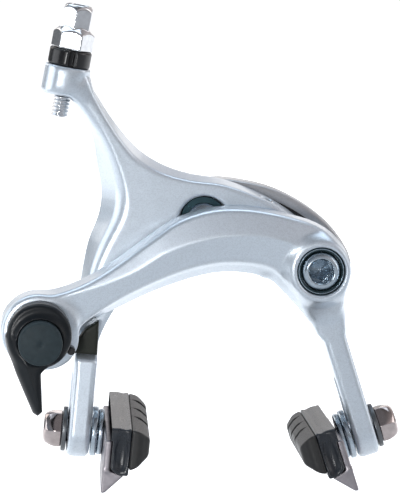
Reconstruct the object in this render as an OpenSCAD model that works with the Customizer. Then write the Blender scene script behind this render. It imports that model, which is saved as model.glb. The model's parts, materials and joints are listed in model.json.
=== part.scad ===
// Dual-pivot side-pull rim brake caliper, front brake, arms resting fully open.
// Millimetres. Origin: on the mounting bolt's axis, at the face that seats on the fork crown.
// +X is the right side seen from the front, +Y points back to the fork, +Z is up.

/* [Mounting] */
// Radius of the mounting bolt behind the bracket
bolt_r = 3; // [2.5:0.1:3.2]
// Radius of the bolt's neck inside the bracket and washer
bolt_neck_r = 3.3; // [3.25:0.05:3.6]
// How far the mounting bolt stands out behind the crown seat
bolt_reach = 24; // [12:1:40]
// Outer radius of the toothed crown washer
crown_washer_r = 6.5; // [6:0.1:7.5]

/* [Pivots] */
// Side pivot, sideways from the mounting bolt
side_pivot_x = 24.5; // [24:0.1:25]
// Side pivot, height from the mounting bolt
side_pivot_z = -12.4; // [-12.8:0.1:-12]
// Radius of the centre pivot's shoulder
centre_shoulder_r = 4; // [3.6:0.1:4.2]
// Radius of the side pivot bolt's shoulder
side_shoulder_r = 3.5; // [3.2:0.1:3.6]
// Radial running clearance of every turning fit
running_gap = 0.05; // [0.02:0.01:0.09]

/* [Shoes] */
// Reach: distance that a shoe can move up its slot
slot_travel = 10; // [6:1:10]
// Radius of a shoe stud
stud_r = 3; // [2.5:0.1:3]
// Length of a brake shoe along the rim
shoe_length = 42; // [38:1:48]
// Tilt of the left leg in the open rest position
left_tilt = 9.9; // [9:0.1:11]
// Tilt of the right leg in the open rest position
right_tilt = 12.6; // [12:0.1:13]
// Toe of the left shoe: how far its front end is turned out from the rim
left_toe = 1.8; // [0:0.1:2]
// Turn of the left shoe about its stud, front end up
left_turn = 1; // [-3:0.5:3]
// Turn of the right shoe about its stud, front end up
right_turn = 3.5; // [-3:0.5:4]

/* [Cable] */
// Radius of the cable housing's seat in the barrel
housing_r = 2.55; // [2.5:0.05:2.6]
// Lean of the adjuster axis to the right
adjuster_lean = 15.4; // [14:0.1:17]
// Radius of the hole that the inner cable passes through
cable_hole_r = 0.9; // [0.7:0.1:1]

/* [Hidden] */
$fn = 64;

// Layers of the stack from the crown seat forwards, as y positions
washer_front = -2.5;
bracket_front = -8.5;
rear_arm_back = -9;
rear_arm_front = -17.5;
front_arm_back = -18.2;
front_arm_front = -26;
foot_back = -8.5;
foot_front = -20.5;
foot_y = (foot_back + foot_front) / 2;

// Places of the lever, the adjuster and the two shoe studs, as [x, z]
lever_at = [-38.8, -20.2];
cap_at = [-38.8, -21.4];
adjuster_at = [-27.1, 36.6];
left_foot_at = [-31.6, -45.1];
right_foot_at = [32, -50.9];
adjuster_y = -13.5;
screw_x = 14.5;

// A foot plate: half its thickness, half its width, and its length above the stud
foot_half = 2.5;
foot_half_w = (foot_back - foot_front) / 2;
slot_gap = 0.15;
left_foot_top = 18;
right_foot_top = 24;

// Smooth closed curve through points: each span is cut into steps of a Catmull-Rom spline
function blend4(a, b, c, d, t) =
    0.5 * (2 * b + (c - a) * t + (2 * a - 5 * b + 4 * c - d) * t * t
    + (3 * b - 3 * c + d - a) * t * t * t);
function closed_curve(p, steps) = [
    for (i = [0 : len(p) - 1]) for (k = [0 : steps - 1])
        blend4(p[(i + len(p) - 1) % len(p)], p[i], p[(i + 1) % len(p)],
               p[(i + 2) % len(p)], k / steps)
];

// Rear arm: [x, z] of the front edge, then how far the back edge stands out from it
rear_arm_edge = [
    [[-23.6, 33.5], [-0.4, 0]], [[-21.9, 29.6], [0.3, 0.4]], [[-19.6, 24.5], [0.6, 0.4]],
    [[-16.6, 19], [0.9, 0.7]], [[-13.2, 14.6], [1, 1]], [[-8, 11.1], [0.8, 1]],
    [[-2, 9], [0.4, 0.8]], [[5, 7.5], [0.2, 0.6]], [[12, 4.4], [0.2, 0.4]],
    [[17, 1.3], [0.4, 0.2]], [[21, -2.2], [0.6, 0]], [[22.6, -4.4], [0.6, 0]],
    [[20, -5.6], [0, 0]], [[13, -5.4], [0, 0]], [[8, -6.6], [0, 0]], [[3, -9], [0, 0]],
    [[-4, -9.4], [0, 0]], [[-11, -9.8], [0.4, -0.6]], [[-17, -13], [0.6, -0.6]],
    [[-22.5, -19.5], [0.6, -0.2]], [[-25.6, -25], [0.4, 0]], [[-27, -30], [0, 0]],
    [[-29, -31], [0, 0]], [[-31, -30], [0, 0]], [[-30, -24], [-0.4, 0]],
    [[-28, -16], [-1.2, 0]], [[-25.8, -9], [-1.8, 0]], [[-22.6, -3], [-3.2, 0]],
    [[-19, 2.8], [-4, 0]], [[-18, 8], [-4, 0]], [[-18.8, 13.8], [-3.7, 0.2]],
    [[-21, 19.8], [-2, 0.3]], [[-24.2, 25.6], [-0.8, 0]], [[-27, 31], [-0.6, 0]]
];

// Front arm: [x, z] of the ridge-side edge, then how far the back edge stands out from it
front_arm_edge = [
    [[-45.4, -16.4], [-0.4, 0.4]], [[-42, -13.6], [-0.2, 0.4]], [[-37.5, -12.8], [0, 0.4]],
    [[-32, -12], [0, 0.5]], [[-26.4, -10.2], [0, 0.6]], [[-20, -7], [0, 0.6]],
    [[-12.8, -2.6], [0, 0.6]], [[-6, 1.2], [0, 0.4]], [[2, 3], [0, 0.2]],
    [[10, 2.4], [0, 0.2]], [[18, 0.2], [0.1, 0.2]], [[24.4, -2.8], [0.5, 0.4]],
    [[28.9, -6.9], [0.5, 0.3]], [[30.7, -12], [0.4, 0]], [[29.6, -17.5], [0.2, 0]],
    [[28.7, -22.5], [0.2, 0]], [[26.6, -24.4], [0, 0]], [[23.2, -24], [-1.2, -0.4]],
    [[20.8, -19.5], [-1.6, -1.4]], [[18.2, -14.8], [-1.8, -2.6]], [[14.5, -9.8], [-1.2, -4.2]],
    [[8, -8], [-0.4, -4]], [[1, -7.7], [0, -3.8]], [[-6.5, -8.9], [0.2, -3.8]],
    [[-14, -11.4], [0.2, -3.4]], [[-21.5, -14.6], [0.2, -3]], [[-27.5, -18.2], [0.2, -1.8]],
    [[-31, -21.5], [0.3, -1.2]], [[-33.6, -25.4], [0.2, -0.5]], [[-38.5, -27.8], [0, -0.4]],
    [[-43.6, -26], [-0.3, -0.3]], [[-46.4, -21.4], [-0.4, 0]]
];

// Pivot bracket behind the arms
bracket_edge = [
    [-8.5, 0], [-5, 5.8], [2.5, 8], [10.3, 6.7], [17.4, 4.1], [24.4, -0.5], [29.9, -6.3],
    [33, -13.6], [30.4, -19.2], [24, -20.6], [18, -17.6], [10, -11.6], [2, -8.4], [-5.6, -6.6]
];

// Sections of the shoe's holder and pad, chamfered towards the leg and towards the rim
holder_edge = [[7.2, -4], [8.8, -5.2], [11.2, -5.2], [11.2, 5.4], [8.8, 5.4], [7.2, 4.2]];
pad_edge = [[11.2, -5], [13.2, -4.6], [15.4, -2.8], [15.4, 3.2], [13.2, 4.9], [11.2, 5.2]];

// Places of the pad's water slots along the shoe
pad_slots = [-5, 4.5, 14];

// Section of the shoe's wheel guide, from the backing plate down to its tip
guide_edge = [[5.6, -2.4], [7.2, -4.6], [10.4, -5.5], [6.2, -9.6], [5.6, -9.8]];
guide_length = 22;

// Where each layer of a shoe starts, along the stud from the middle of the leg
nut_length = 4.2;
nut_flats = 7.6;
outer_washer_t = 1;
outer_washer_to = -2.75;
dished_from = 2.8;
domed_from = 4.2;
plate_from = 5.6;
holder_from = 7.2;
pad_from = 11.2;
pad_face = 15.4;
shoe_low = -5.2;
shoe_high = 5.4;
washer_r = 5.6;
nut_from = outer_washer_to - outer_washer_t - running_gap - nut_length;

// Depths in the arms' bosses
centre_recess_y = -15;
centre_recess_r = 5.5;
side_recess_y = -23.4;
side_recess_r = 5.4;
bush_wall = 1.1;

// Extrude a drawing of x and z along y
module layer(y_front, y_back) {
    translate([0, y_back, 0]) rotate([90, 0, 0]) linear_extrude(y_back - y_front) children();
}

// A rod along y
module rod(at, y_front, y_back, r) {
    translate([at[0], y_back, at[1]]) rotate([90, 0, 0]) cylinder(h = y_back - y_front, r = r);
}

// A tube along y
module ring(at, y_front, y_back, r_in, r_out) {
    difference() {
        rod(at, y_front, y_back, r_out);
        rod(at, y_front - 1, y_back + 1, r_in);
    }
}

// A rod along x, in a shoe's own frame
module shoe_rod(x_from, x_to, r) {
    translate([x_from, 0, 0]) rotate([0, 90, 0]) cylinder(h = x_to - x_from, r = r);
}

// A shoe's own frame: +x points to the rim, z up the leg, origin in the leg on the stud's axis
module at_left_foot() {
    translate([left_foot_at[0], foot_y, left_foot_at[1]]) rotate([0, left_tilt, 0]) children();
}
module at_right_foot() {
    translate([right_foot_at[0], foot_y, right_foot_at[1]]) rotate([0, -right_tilt, 0])
        mirror([1, 0, 0]) children();
}

// The same frames, turned as each shoe is set
module at_left_shoe() at_left_foot() rotate([-left_turn, 0, -left_toe]) children();
module at_right_shoe() at_right_foot() rotate([-right_turn, 0, 0]) children();

// The adjuster's own frame: z along the cable, origin at the top of the arm's boss
module at_adjuster() {
    translate([adjuster_at[0], adjuster_y, adjuster_at[1]]) rotate([0, adjuster_lean, 0])
        children();
}

centre = [0, 0];
side = [side_pivot_x, side_pivot_z];

// Outline of an arm, from its front edge (0) to its back edge (1)
function arm_outline(edge, depth) = closed_curve([for (e = edge) e[0] + depth * e[1]], 3);

// Flat foot of an arm with a rounded end and the slot that sets the shoe's height
module foot_plate(top) {
    difference() {
        union() {
            translate([-foot_half, -foot_half_w, 0]) cube([2 * foot_half, 2 * foot_half_w, top]);
            shoe_rod(-foot_half, foot_half, foot_half_w);
        }
        for (z = [0, slot_travel]) translate([0, 0, z])
            shoe_rod(-foot_half - 1, foot_half + 1, stud_r + slot_gap);
        translate([-foot_half - 1, -stud_r - slot_gap, 0])
            cube([2 * foot_half + 2, 2 * (stud_r + slot_gap), slot_travel]);
    }
}

module centre_bolt() color("silver") {
    rod(centre, -17.3, -15.35, 2.5);
    rod(centre, -15.35, bracket_front, centre_shoulder_r);
    rod(centre, bracket_front, 0, bolt_neck_r);
    rod(centre, -0.5, bolt_reach, bolt_r);
}

module crown_washer() color("dimgray") {
    teeth = 16;
    difference() {
        ring(centre, washer_front, 0, bolt_neck_r + running_gap, crown_washer_r);
        for (i = [0 : teeth - 1]) rotate([0, i * 360 / teeth, 0])
            translate([4.4, -0.6, -0.35]) cube([3, 1, 0.7]);
    }
}

module pivot_bracket() color("lightgray") {
    difference() {
        layer(bracket_front, washer_front) polygon(closed_curve(bracket_edge, 3));
        rod(centre, bracket_front - 1, washer_front + 1, bolt_neck_r);
        rod(side, bracket_front - 1, washer_front + 1, 3);
    }
}

module centre_thrust_washer() color("black") {
    ring(centre, rear_arm_back + 0.05, bracket_front, centre_shoulder_r, 7.6);
}

module centre_lock_washer() color("silver") {
    ring(centre, -15.35, centre_recess_y - 0.05, centre_shoulder_r, 5.2);
    ring(centre, -15.7, -15.35, 2.5, 5.2);
}

module centre_nut() color("lightsteelblue") {
    difference() {
        rod(centre, -17.7, -15.7, 3.9);
        rod(centre, -17.3, -15, 2.5);
    }
}

module side_pivot_bolt() color("silver") {
    head_front = front_arm_front - 0.3;
    difference() {
        union() {
            rod(side, head_front, side_recess_y - 0.4, 4.4);
            rod(side, side_recess_y - 0.4, bracket_front, side_shoulder_r);
            rod(side, bracket_front, washer_front - 0.2, 3);
        }
        translate([side[0], head_front + 2.2, side[1]]) rotate([90, 0, 0])
            cylinder(h = 4, d = 5 / cos(30), $fn = 6);
    }
}

module side_head_washer() color("silver") {
    ring(side, side_recess_y - 0.4, side_recess_y - 0.05, side_shoulder_r, 5.2);
}

module side_dust_ring() color("black") {
    ring(side, front_arm_front + 0.4, side_recess_y - 0.4, 4.5, 5.3);
}

module side_thrust_washer() color("black") {
    ring(side, rear_arm_back + 0.05, bracket_front, side_shoulder_r, 5.8);
}

// Return spring: one wire that bears on both arms and passes behind the bracket
spring_route = [
    [-26.6, -21.4], [-22.5, -15], [-14, -10.2], [-5, -8.6], [3, -8.6], [11, -10.6],
    [18, -16], [24.4, -24.8]
];
spring_y = -1.35;
wire_r = 0.9;
wire_sides = 12;
module return_spring() color("dimgray") {
    last = len(spring_route) - 1;
    lean = [for (i = [0 : last]) let (d = spring_route[min(i + 1, last)] - spring_route[max(i - 1, 0)])
        d / norm(d)];
    rings = [for (i = [0 : last]) for (k = [0 : wire_sides - 1]) let (a = 360 * k / wire_sides) [
        spring_route[i][0] - wire_r * cos(a) * lean[i][1],
        spring_y + wire_r * sin(a),
        spring_route[i][1] + wire_r * cos(a) * lean[i][0]
    ]];
    walls = [for (i = [0 : last - 1]) for (k = [0 : wire_sides - 1]) let (n = (k + 1) % wire_sides) [
        i * wire_sides + k, i * wire_sides + n,
        (i + 1) * wire_sides + n, (i + 1) * wire_sides + k
    ]];
    ends = [
        [for (k = [wire_sides - 1 : -1 : 0]) k],
        [for (k = [0 : wire_sides - 1]) last * wire_sides + k]
    ];
    polyhedron(rings, concat(walls, ends));
}

module rear_arm() color("lightsteelblue") {
    difference() {
        union() {
            layer(rear_arm_front, -15.6) polygon(arm_outline(rear_arm_edge, 0));
            layer(-15.6, -12.6) polygon(arm_outline(rear_arm_edge, 0.5));
            layer(-12.6, rear_arm_back) polygon(arm_outline(rear_arm_edge, 1));
            at_left_foot() foot_plate(left_foot_top);
            at_adjuster() translate([0, 0, -5.8]) cylinder(h = 5.8, r = 4.5);
        }
        rod(centre, rear_arm_front - 2, centre_recess_y, centre_recess_r);
        rod(centre, rear_arm_front, rear_arm_back + 1, centre_shoulder_r + bush_wall);
        at_adjuster() translate([0, 0, -16]) cylinder(h = 18, r = 2);
        translate([screw_x, adjuster_y, -12]) cylinder(h = 20, r = 1.6);
    }
}

module rear_arm_bush() color("peru") {
    ring(centre, centre_recess_y, rear_arm_back, centre_shoulder_r + running_gap,
         centre_shoulder_r + bush_wall);
}

module arm_stop_pad() color("black") {
    layer(foot_front, rear_arm_front)
        polygon([[-31.3, -26.7], [-31, -24.6], [-28.4, -21.6], [-25.2, -19.9], [-25.6, -23.4],
                 [-26.2, -27.6]]);
}

// Plastic sleeve on the back of an arm, with a groove for the end of the return spring
module spring_sleeve(at, angle, front) color("black") {
    groove = wire_r + 0.15;
    translate([at[0], 0, at[1]]) rotate([0, angle, 0]) difference() {
        translate([-2, front, -4]) cube([4, spring_y + 1.1 - front, 5.5]);
        translate([-groove, spring_y - groove, -5]) cube([2 * groove, 5, 9]);
    }
}

module left_spring_sleeve() spring_sleeve([-26.8, -21.8], 31, rear_arm_back + 0.05);
module right_spring_sleeve() spring_sleeve([24.4, -24.8], -36, foot_back + 0.05);

module centring_screw() color("silver") {
    difference() {
        translate([screw_x, adjuster_y, -7.9]) cylinder(h = 10.4, r = 1.55);
        translate([screw_x, adjuster_y, 1.4]) cylinder(h = 2, d = 1.5 / cos(30), $fn = 6);
    }
}

module adjuster_ring() color("black") {
    at_adjuster() difference() {
        translate([0, 0, running_gap]) cylinder(h = 3.7, r = 4.8);
        translate([0, 0, -1]) cylinder(h = 6, r = 2);
        translate([-0.9, -5.4, -1]) cube([1.8, 1.6, 6]);
    }
}

module adjuster_barrel() color("silver") {
    at_adjuster() difference() {
        union() {
            translate([0, 0, -11.4]) cylinder(h = 17.2, r = 1.95);
            translate([0, 0, 3.8]) rotate([0, 0, 52]) cylinder(h = 4.4, r = 4.7, $fn = 6);
            translate([0, 0, 6]) rotate([0, 0, 22]) cylinder(h = 7.8, r = 3.7, $fn = 6);
        }
        translate([0, 0, 7.8]) cylinder(h = 7, r = housing_r);
        translate([0, 0, -12]) cylinder(h = 24, r = cable_hole_r);
    }
}

module front_arm() color("silver") {
    difference() {
        union() {
            layer(front_arm_front, -24) polygon(arm_outline(front_arm_edge, 0.1));
            layer(-24, -21) polygon(arm_outline(front_arm_edge, 0.5));
            layer(-21, front_arm_back) polygon(arm_outline(front_arm_edge, 1));
            rod(side, front_arm_front + 0.02, rear_arm_back, 6.3);
            rod(lever_at, front_arm_front + 0.05, front_arm_back - 0.05, 8);
            layer(foot_front + 0.3, rear_arm_back - 0.1)
                polygon([[20.4, -17.5], [29.4, -17], [29, -28], [24.2, -29.4], [22, -23.4]]);
            at_right_foot() foot_plate(right_foot_top);
            translate([12.2, front_arm_back - 1, -13]) cube([8, 8.2, 4.8]);
        }
        rod(side, front_arm_front - 1, side_recess_y, side_recess_r);
        rod(side, front_arm_front, rear_arm_back + 1, side_shoulder_r + bush_wall);
        rod(lever_at, front_arm_front - 1, front_arm_back + 1, 4 + running_gap);
    }
}

module front_arm_bush() color("peru") {
    ring(side, side_recess_y, rear_arm_back, side_shoulder_r + running_gap,
         side_shoulder_r + bush_wall);
}

// Quick-release lever: a round hub and a curved blade that tapers to its tip
blade_edge = [
    [-45.9, -20], [-45.8, -23.6], [-44.6, -28.4], [-43, -33.4], [-41.7, -37.3], [-40.7, -38],
    [-39.6, -37], [-39.4, -33], [-39.2, -28.6], [-36, -24], [-40, -20]
];
module quick_release_lever() color("darkslategray") {
    difference() {
        union() {
            rod(lever_at, -32, front_arm_front - 0.2, 7.1);
            layer(-33, -28) polygon(blade_edge);
        }
        rod(cap_at, -34, -30, 4.9);
        rod(lever_at, -31, front_arm_front, 4);
    }
}

module lever_cap() color("black") {
    rod(cap_at, -36, -30, 4.9);
}

module cam_shaft() color("silver") {
    difference() {
        rod(lever_at, -30, -16.6, 4);
        rod(lever_at, -22, -15, 2.5);
    }
}

// The clamp plate has a tongue that keeps the cable in line
module anchor_plate() color("silver") {
    difference() {
        union() {
            ring(lever_at, -16.6, -15.2, 2.5, 5.4);
            translate([lever_at[0] - 6.6, -16.6, lever_at[1] - 3]) cube([3, 1.4, 6]);
        }
        rod(lever_at, -17, -15, 2.5);
    }
}

module anchor_bolt() color("silver") {
    rod(lever_at, -22, -14, 2.5);
    rod(lever_at, -14, -13.2, 5.4);
    translate([lever_at[0], -9.6, lever_at[1]]) rotate([90, 0, 0])
        cylinder(h = 3.6, d = 9 / cos(30), $fn = 6);
}

// One shoe's pieces, each in the shoe's own frame
module shoe_stud() color("silver") {
    shoe_rod(nut_from + 0.6, plate_from, stud_r);
}
module shoe_outer_washer() color("silver") {
    difference() {
        shoe_rod(outer_washer_to - outer_washer_t, outer_washer_to, 5);
        shoe_rod(-9, 9, stud_r + running_gap);
    }
}
module shoe_nut() color("silver") {
    difference() {
        intersection() {
            translate([nut_from, 0, 0]) rotate([0, 90, 0])
                cylinder(h = nut_length, d = nut_flats / cos(30), $fn = 6);
            translate([nut_from, 0, 0]) rotate([0, 90, 0])
                cylinder(h = nut_length, r1 = 2.7, r2 = 6, $fn = 48);
        }
        shoe_rod(nut_from + 0.6, 9, stud_r);
    }
}
module shoe_dished_washer() color("silver") {
    difference() {
        shoe_rod(dished_from, domed_from, washer_r);
        shoe_rod(0, 9, stud_r + running_gap);
    }
}
module shoe_domed_washer() color("silver") {
    difference() {
        shoe_rod(domed_from, plate_from - running_gap, washer_r - 0.4);
        shoe_rod(0, 9, stud_r + running_gap);
    }
}
// A bar along y with chamfered ends, from x_from to x_to
module shoe_bar(x_from, x_to, length, chamfer) {
    translate([0, 0, shoe_low]) linear_extrude(shoe_high - shoe_low) polygon([
        [x_from, -length / 2], [x_to - chamfer, -length / 2], [x_to, -length / 2 + chamfer],
        [x_to, length / 2 - chamfer], [x_to - chamfer, length / 2], [x_from, length / 2]
    ]);
}
// A drawing of x and z extruded along y, from y_front on
module shoe_section(y_front, length) {
    translate([0, y_front + length, 0]) rotate([90, 0, 0]) linear_extrude(length) children();
}
plate_length = shoe_length - 3;
module shoe_backing_plate() color("gray") {
    shoe_bar(plate_from, holder_from, plate_length, 0.5);
    shoe_section(-plate_length / 2, guide_length) polygon(guide_edge);
}
module shoe_holder() color("black") {
    difference() {
        intersection() {
            shoe_bar(holder_from, pad_from, shoe_length, 0.8);
            shoe_section(-shoe_length / 2, shoe_length) polygon(holder_edge);
        }
        shoe_section(-shoe_length / 2 - 1, guide_length + 3)
            polygon([[7, -4.2], [11.4, -5.4], [11.4, -6], [7, -6]]);
    }
}
module shoe_pad() color("dimgray") {
    difference() {
        intersection() {
            shoe_bar(pad_from, pad_face, shoe_length, 1.6);
            shoe_section(-shoe_length / 2, shoe_length) polygon(pad_edge);
        }
        for (y = pad_slots) translate([pad_face - 1.6, y - 0.7, -6]) cube([3, 1.4, 12]);
    }
}

module left_stud() at_left_shoe() shoe_stud();
module left_outer_washer() at_left_shoe() shoe_outer_washer();
module left_nut() at_left_shoe() shoe_nut();
module left_dished_washer() at_left_shoe() shoe_dished_washer();
module left_domed_washer() at_left_shoe() shoe_domed_washer();
module left_backing_plate() at_left_shoe() shoe_backing_plate();
module left_pad_holder() at_left_shoe() shoe_holder();
module left_pad() at_left_shoe() shoe_pad();
module right_stud() at_right_shoe() shoe_stud();
module right_outer_washer() at_right_shoe() shoe_outer_washer();
module right_nut() at_right_shoe() shoe_nut();
module right_dished_washer() at_right_shoe() shoe_dished_washer();
module right_domed_washer() at_right_shoe() shoe_domed_washer();
module right_backing_plate() at_right_shoe() shoe_backing_plate();
module right_pad_holder() at_right_shoe() shoe_holder();
module right_pad() at_right_shoe() shoe_pad();

centre_bolt();
crown_washer();
pivot_bracket();
centre_thrust_washer();
centre_lock_washer();
centre_nut();
side_pivot_bolt();
side_head_washer();
side_dust_ring();
side_thrust_washer();
return_spring();
rear_arm();
rear_arm_bush();
arm_stop_pad();
left_spring_sleeve();
centring_screw();
adjuster_ring();
adjuster_barrel();
front_arm();
front_arm_bush();
right_spring_sleeve();
quick_release_lever();
lever_cap();
cam_shaft();
anchor_plate();
anchor_bolt();
left_stud();
left_outer_washer();
left_nut();
left_dished_washer();
left_domed_washer();
left_backing_plate();
left_pad_holder();
left_pad();
right_stud();
right_outer_washer();
right_nut();
right_dished_washer();
right_domed_washer();
right_backing_plate();
right_pad_holder();
right_pad();
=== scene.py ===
import itertools
import json
import math

import bpy
import numpy as np
from mathutils import Matrix, Vector


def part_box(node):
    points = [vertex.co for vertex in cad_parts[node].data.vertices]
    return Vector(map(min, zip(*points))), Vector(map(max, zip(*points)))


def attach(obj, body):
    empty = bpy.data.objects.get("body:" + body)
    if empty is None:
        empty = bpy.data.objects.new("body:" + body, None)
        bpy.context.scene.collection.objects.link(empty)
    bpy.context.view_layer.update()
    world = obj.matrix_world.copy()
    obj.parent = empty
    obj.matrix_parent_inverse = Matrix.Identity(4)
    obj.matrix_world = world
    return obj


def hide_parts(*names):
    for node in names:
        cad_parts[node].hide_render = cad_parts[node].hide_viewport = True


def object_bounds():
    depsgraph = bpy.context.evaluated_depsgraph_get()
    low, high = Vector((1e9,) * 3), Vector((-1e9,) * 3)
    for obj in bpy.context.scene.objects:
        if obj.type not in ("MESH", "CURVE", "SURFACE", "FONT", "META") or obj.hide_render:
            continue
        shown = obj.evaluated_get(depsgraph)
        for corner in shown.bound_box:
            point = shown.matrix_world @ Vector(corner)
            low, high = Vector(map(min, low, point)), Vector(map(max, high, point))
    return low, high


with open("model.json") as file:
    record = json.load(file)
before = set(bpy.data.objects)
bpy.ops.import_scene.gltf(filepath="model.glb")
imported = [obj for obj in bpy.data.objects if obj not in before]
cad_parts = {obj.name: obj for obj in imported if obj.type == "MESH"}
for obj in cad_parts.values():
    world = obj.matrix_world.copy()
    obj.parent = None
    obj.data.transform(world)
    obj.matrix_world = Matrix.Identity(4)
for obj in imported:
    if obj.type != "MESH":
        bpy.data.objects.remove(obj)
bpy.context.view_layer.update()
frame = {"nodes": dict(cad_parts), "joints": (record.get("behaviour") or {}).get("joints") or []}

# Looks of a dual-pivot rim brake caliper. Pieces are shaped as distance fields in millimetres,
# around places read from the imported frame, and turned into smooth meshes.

MM = 0.001
JOINTS = {j["name"]: j for j in frame["joints"]}

# ---------------------------------------------------------------- places from the frame


def joint_at(name):
    return np.array(JOINTS[name]["pos_m"]) / MM


def joint_axis(name):
    axis = np.array(JOINTS[name]["axis"], float)
    return axis / np.linalg.norm(axis)


def span(node, axis):
    """Lowest and highest coordinate of a CAD node along an axis, in millimetres."""
    low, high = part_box(node)
    return low[axis] / MM, high[axis] / MM


def place(origin, x_axis, z_axis, mirrored=False):
    """4 x 4 matrix of a piece's own frame."""
    z_axis = np.array(z_axis, float)
    x_axis = np.array(x_axis, float)
    y_axis = np.cross(z_axis, x_axis) * (-1 if mirrored else 1)
    matrix = np.eye(4)
    matrix[:3, 0], matrix[:3, 1], matrix[:3, 2], matrix[:3, 3] = x_axis, y_axis, z_axis, origin
    return matrix


def turned(matrix, degrees):
    """A frame turned about its own x axis."""
    c, s = math.cos(math.radians(degrees)), math.sin(math.radians(degrees))
    turn = np.eye(4)
    turn[1:3, 1:3] = [[c, -s], [s, c]]
    return matrix @ turn


def off_axis(x, z, centre):
    """Distance from a line along y through a centre."""
    return np.hypot(x - centre[0], z - centre[2])


# The side pivot, the quick release's axis and the barrel adjuster's direction
SIDE = joint_at("front_arm_swing")
LEVER = joint_at("quick_release_turn")
ADJUSTER_AXIS = joint_axis("adjuster_turn")

# ---------------------------------------------------------------- distance fields


def both(a, b, r):
    """Where a and b overlap, with the edge between them rounded to radius r."""
    u, v = np.maximum(a + r, 0), np.maximum(b + r, 0)
    return np.hypot(u, v) + np.minimum(np.maximum(a + r, b + r), 0) - r


def either(a, b, r):
    """a and b joined, with a fillet of radius r."""
    return -both(-a, -b, r)


def without(a, b, r):
    """a with b cut out of it."""
    return both(a, -b, r)


def between(t, low, high):
    """Distance to the slab from low to high."""
    return np.maximum(low - t, t - high)


def step(t, low, high):
    """0 below low, 1 above high, smooth between."""
    s = np.clip((t - low) / (high - low), 0, 1)
    return s * s * (3 - 2 * s)


def hexagon(u, v, flats, turn=0):
    """Distance to a hexagon with that width across its flats."""
    sides = [math.radians(turn + 60 * i) for i in range(6)]
    return np.max([u * math.cos(a) + v * math.sin(a) - flats / 2 for a in sides], 0)


def block(x, y, z, low, high, r):
    """A box with rounded edges."""
    d = [np.abs(t - (a + b) / 2) - (b - a) / 2 + r for t, a, b in zip((x, y, z), low, high)]
    outside = np.sqrt(sum(np.maximum(t, 0) ** 2 for t in d))
    return outside + np.minimum(np.maximum(np.maximum(d[0], d[1]), d[2]), 0) - r


def section(u, v, corners, r):
    """Distance to a convex drawing, its corners given anticlockwise and rounded to radius r."""
    solid = None
    for (u0, v0), (u1, v1) in zip(corners, corners[1:] + corners[:1]):
        long = math.hypot(u1 - u0, v1 - v0)
        side = ((u - u0) * (v1 - v0) - (v - v0) * (u1 - u0)) / long
        solid = side if solid is None else both(solid, side, r)
    return solid


def thread(rho, angle, along, radius, pitch, depth):
    """A rod with a thread, scaled so that its slanted flanks still measure as a distance."""
    phase = (along / pitch - angle / (2 * math.pi)) % 1.0
    return (rho - radius + depth * 2 * np.abs(phase - 0.5)) * 0.8


# Scale that turns x + y into the distance from a 45 degree slope
SLOPE_45 = 0.7071


class Outline:
    """The outline of a CAD node where the plane y = depth cuts it."""

    def __init__(self, node, depth):
        mesh = frame["nodes"][node].data
        mesh.calc_loop_triangles()
        points = np.array([v.co for v in mesh.vertices]) / MM
        corners = points[np.array([t.vertices for t in mesh.loop_triangles])]
        behind = corners[:, :, 1] > depth
        cut = behind.any(1) & ~behind.all(1)
        corners, behind = corners[cut], behind[cut]
        lone = np.where(behind.sum(1) == 1, behind.argmax(1), (~behind).argmax(1))
        row = np.arange(len(corners))
        a = corners[row, lone]
        ends = []
        for k in (1, 2):
            b = corners[row, (lone + k) % 3]
            share = (depth - a[:, 1]) / (b[:, 1] - a[:, 1])
            ends.append((a + (b - a) * share[:, None])[:, [0, 2]])
        self.start, self.end = ends

    def distance(self, x, z):
        """Signed distance, negative inside, on the grid of x and z columns."""
        xs, zs = x.ravel(), z.ravel()
        p, q = self.start, self.end
        edge = q - p
        long2 = np.maximum((edge ** 2).sum(1), 1e-12)
        out = np.empty((len(xs), len(zs)))
        for k, height in enumerate(zs):
            dx = xs[:, None] - p[None, :, 0]
            dz = height - p[None, :, 1]
            t = np.clip((dx * edge[:, 0] + dz * edge[:, 1]) / long2, 0, 1)
            far = np.hypot(dx - t * edge[:, 0], dz - t * edge[:, 1]).min(1)
            cross = (p[:, 1] > height) != (q[:, 1] > height)
            at = p[cross, 0] + (height - p[cross, 1]) * edge[cross, 0] / edge[cross, 1]
            inside = (np.sort(at).searchsorted(xs) % 2) == 1
            out[:, k] = np.where(inside, -far, far)
        return out[:, None, :]


# ---------------------------------------------------------------- meshing


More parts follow.
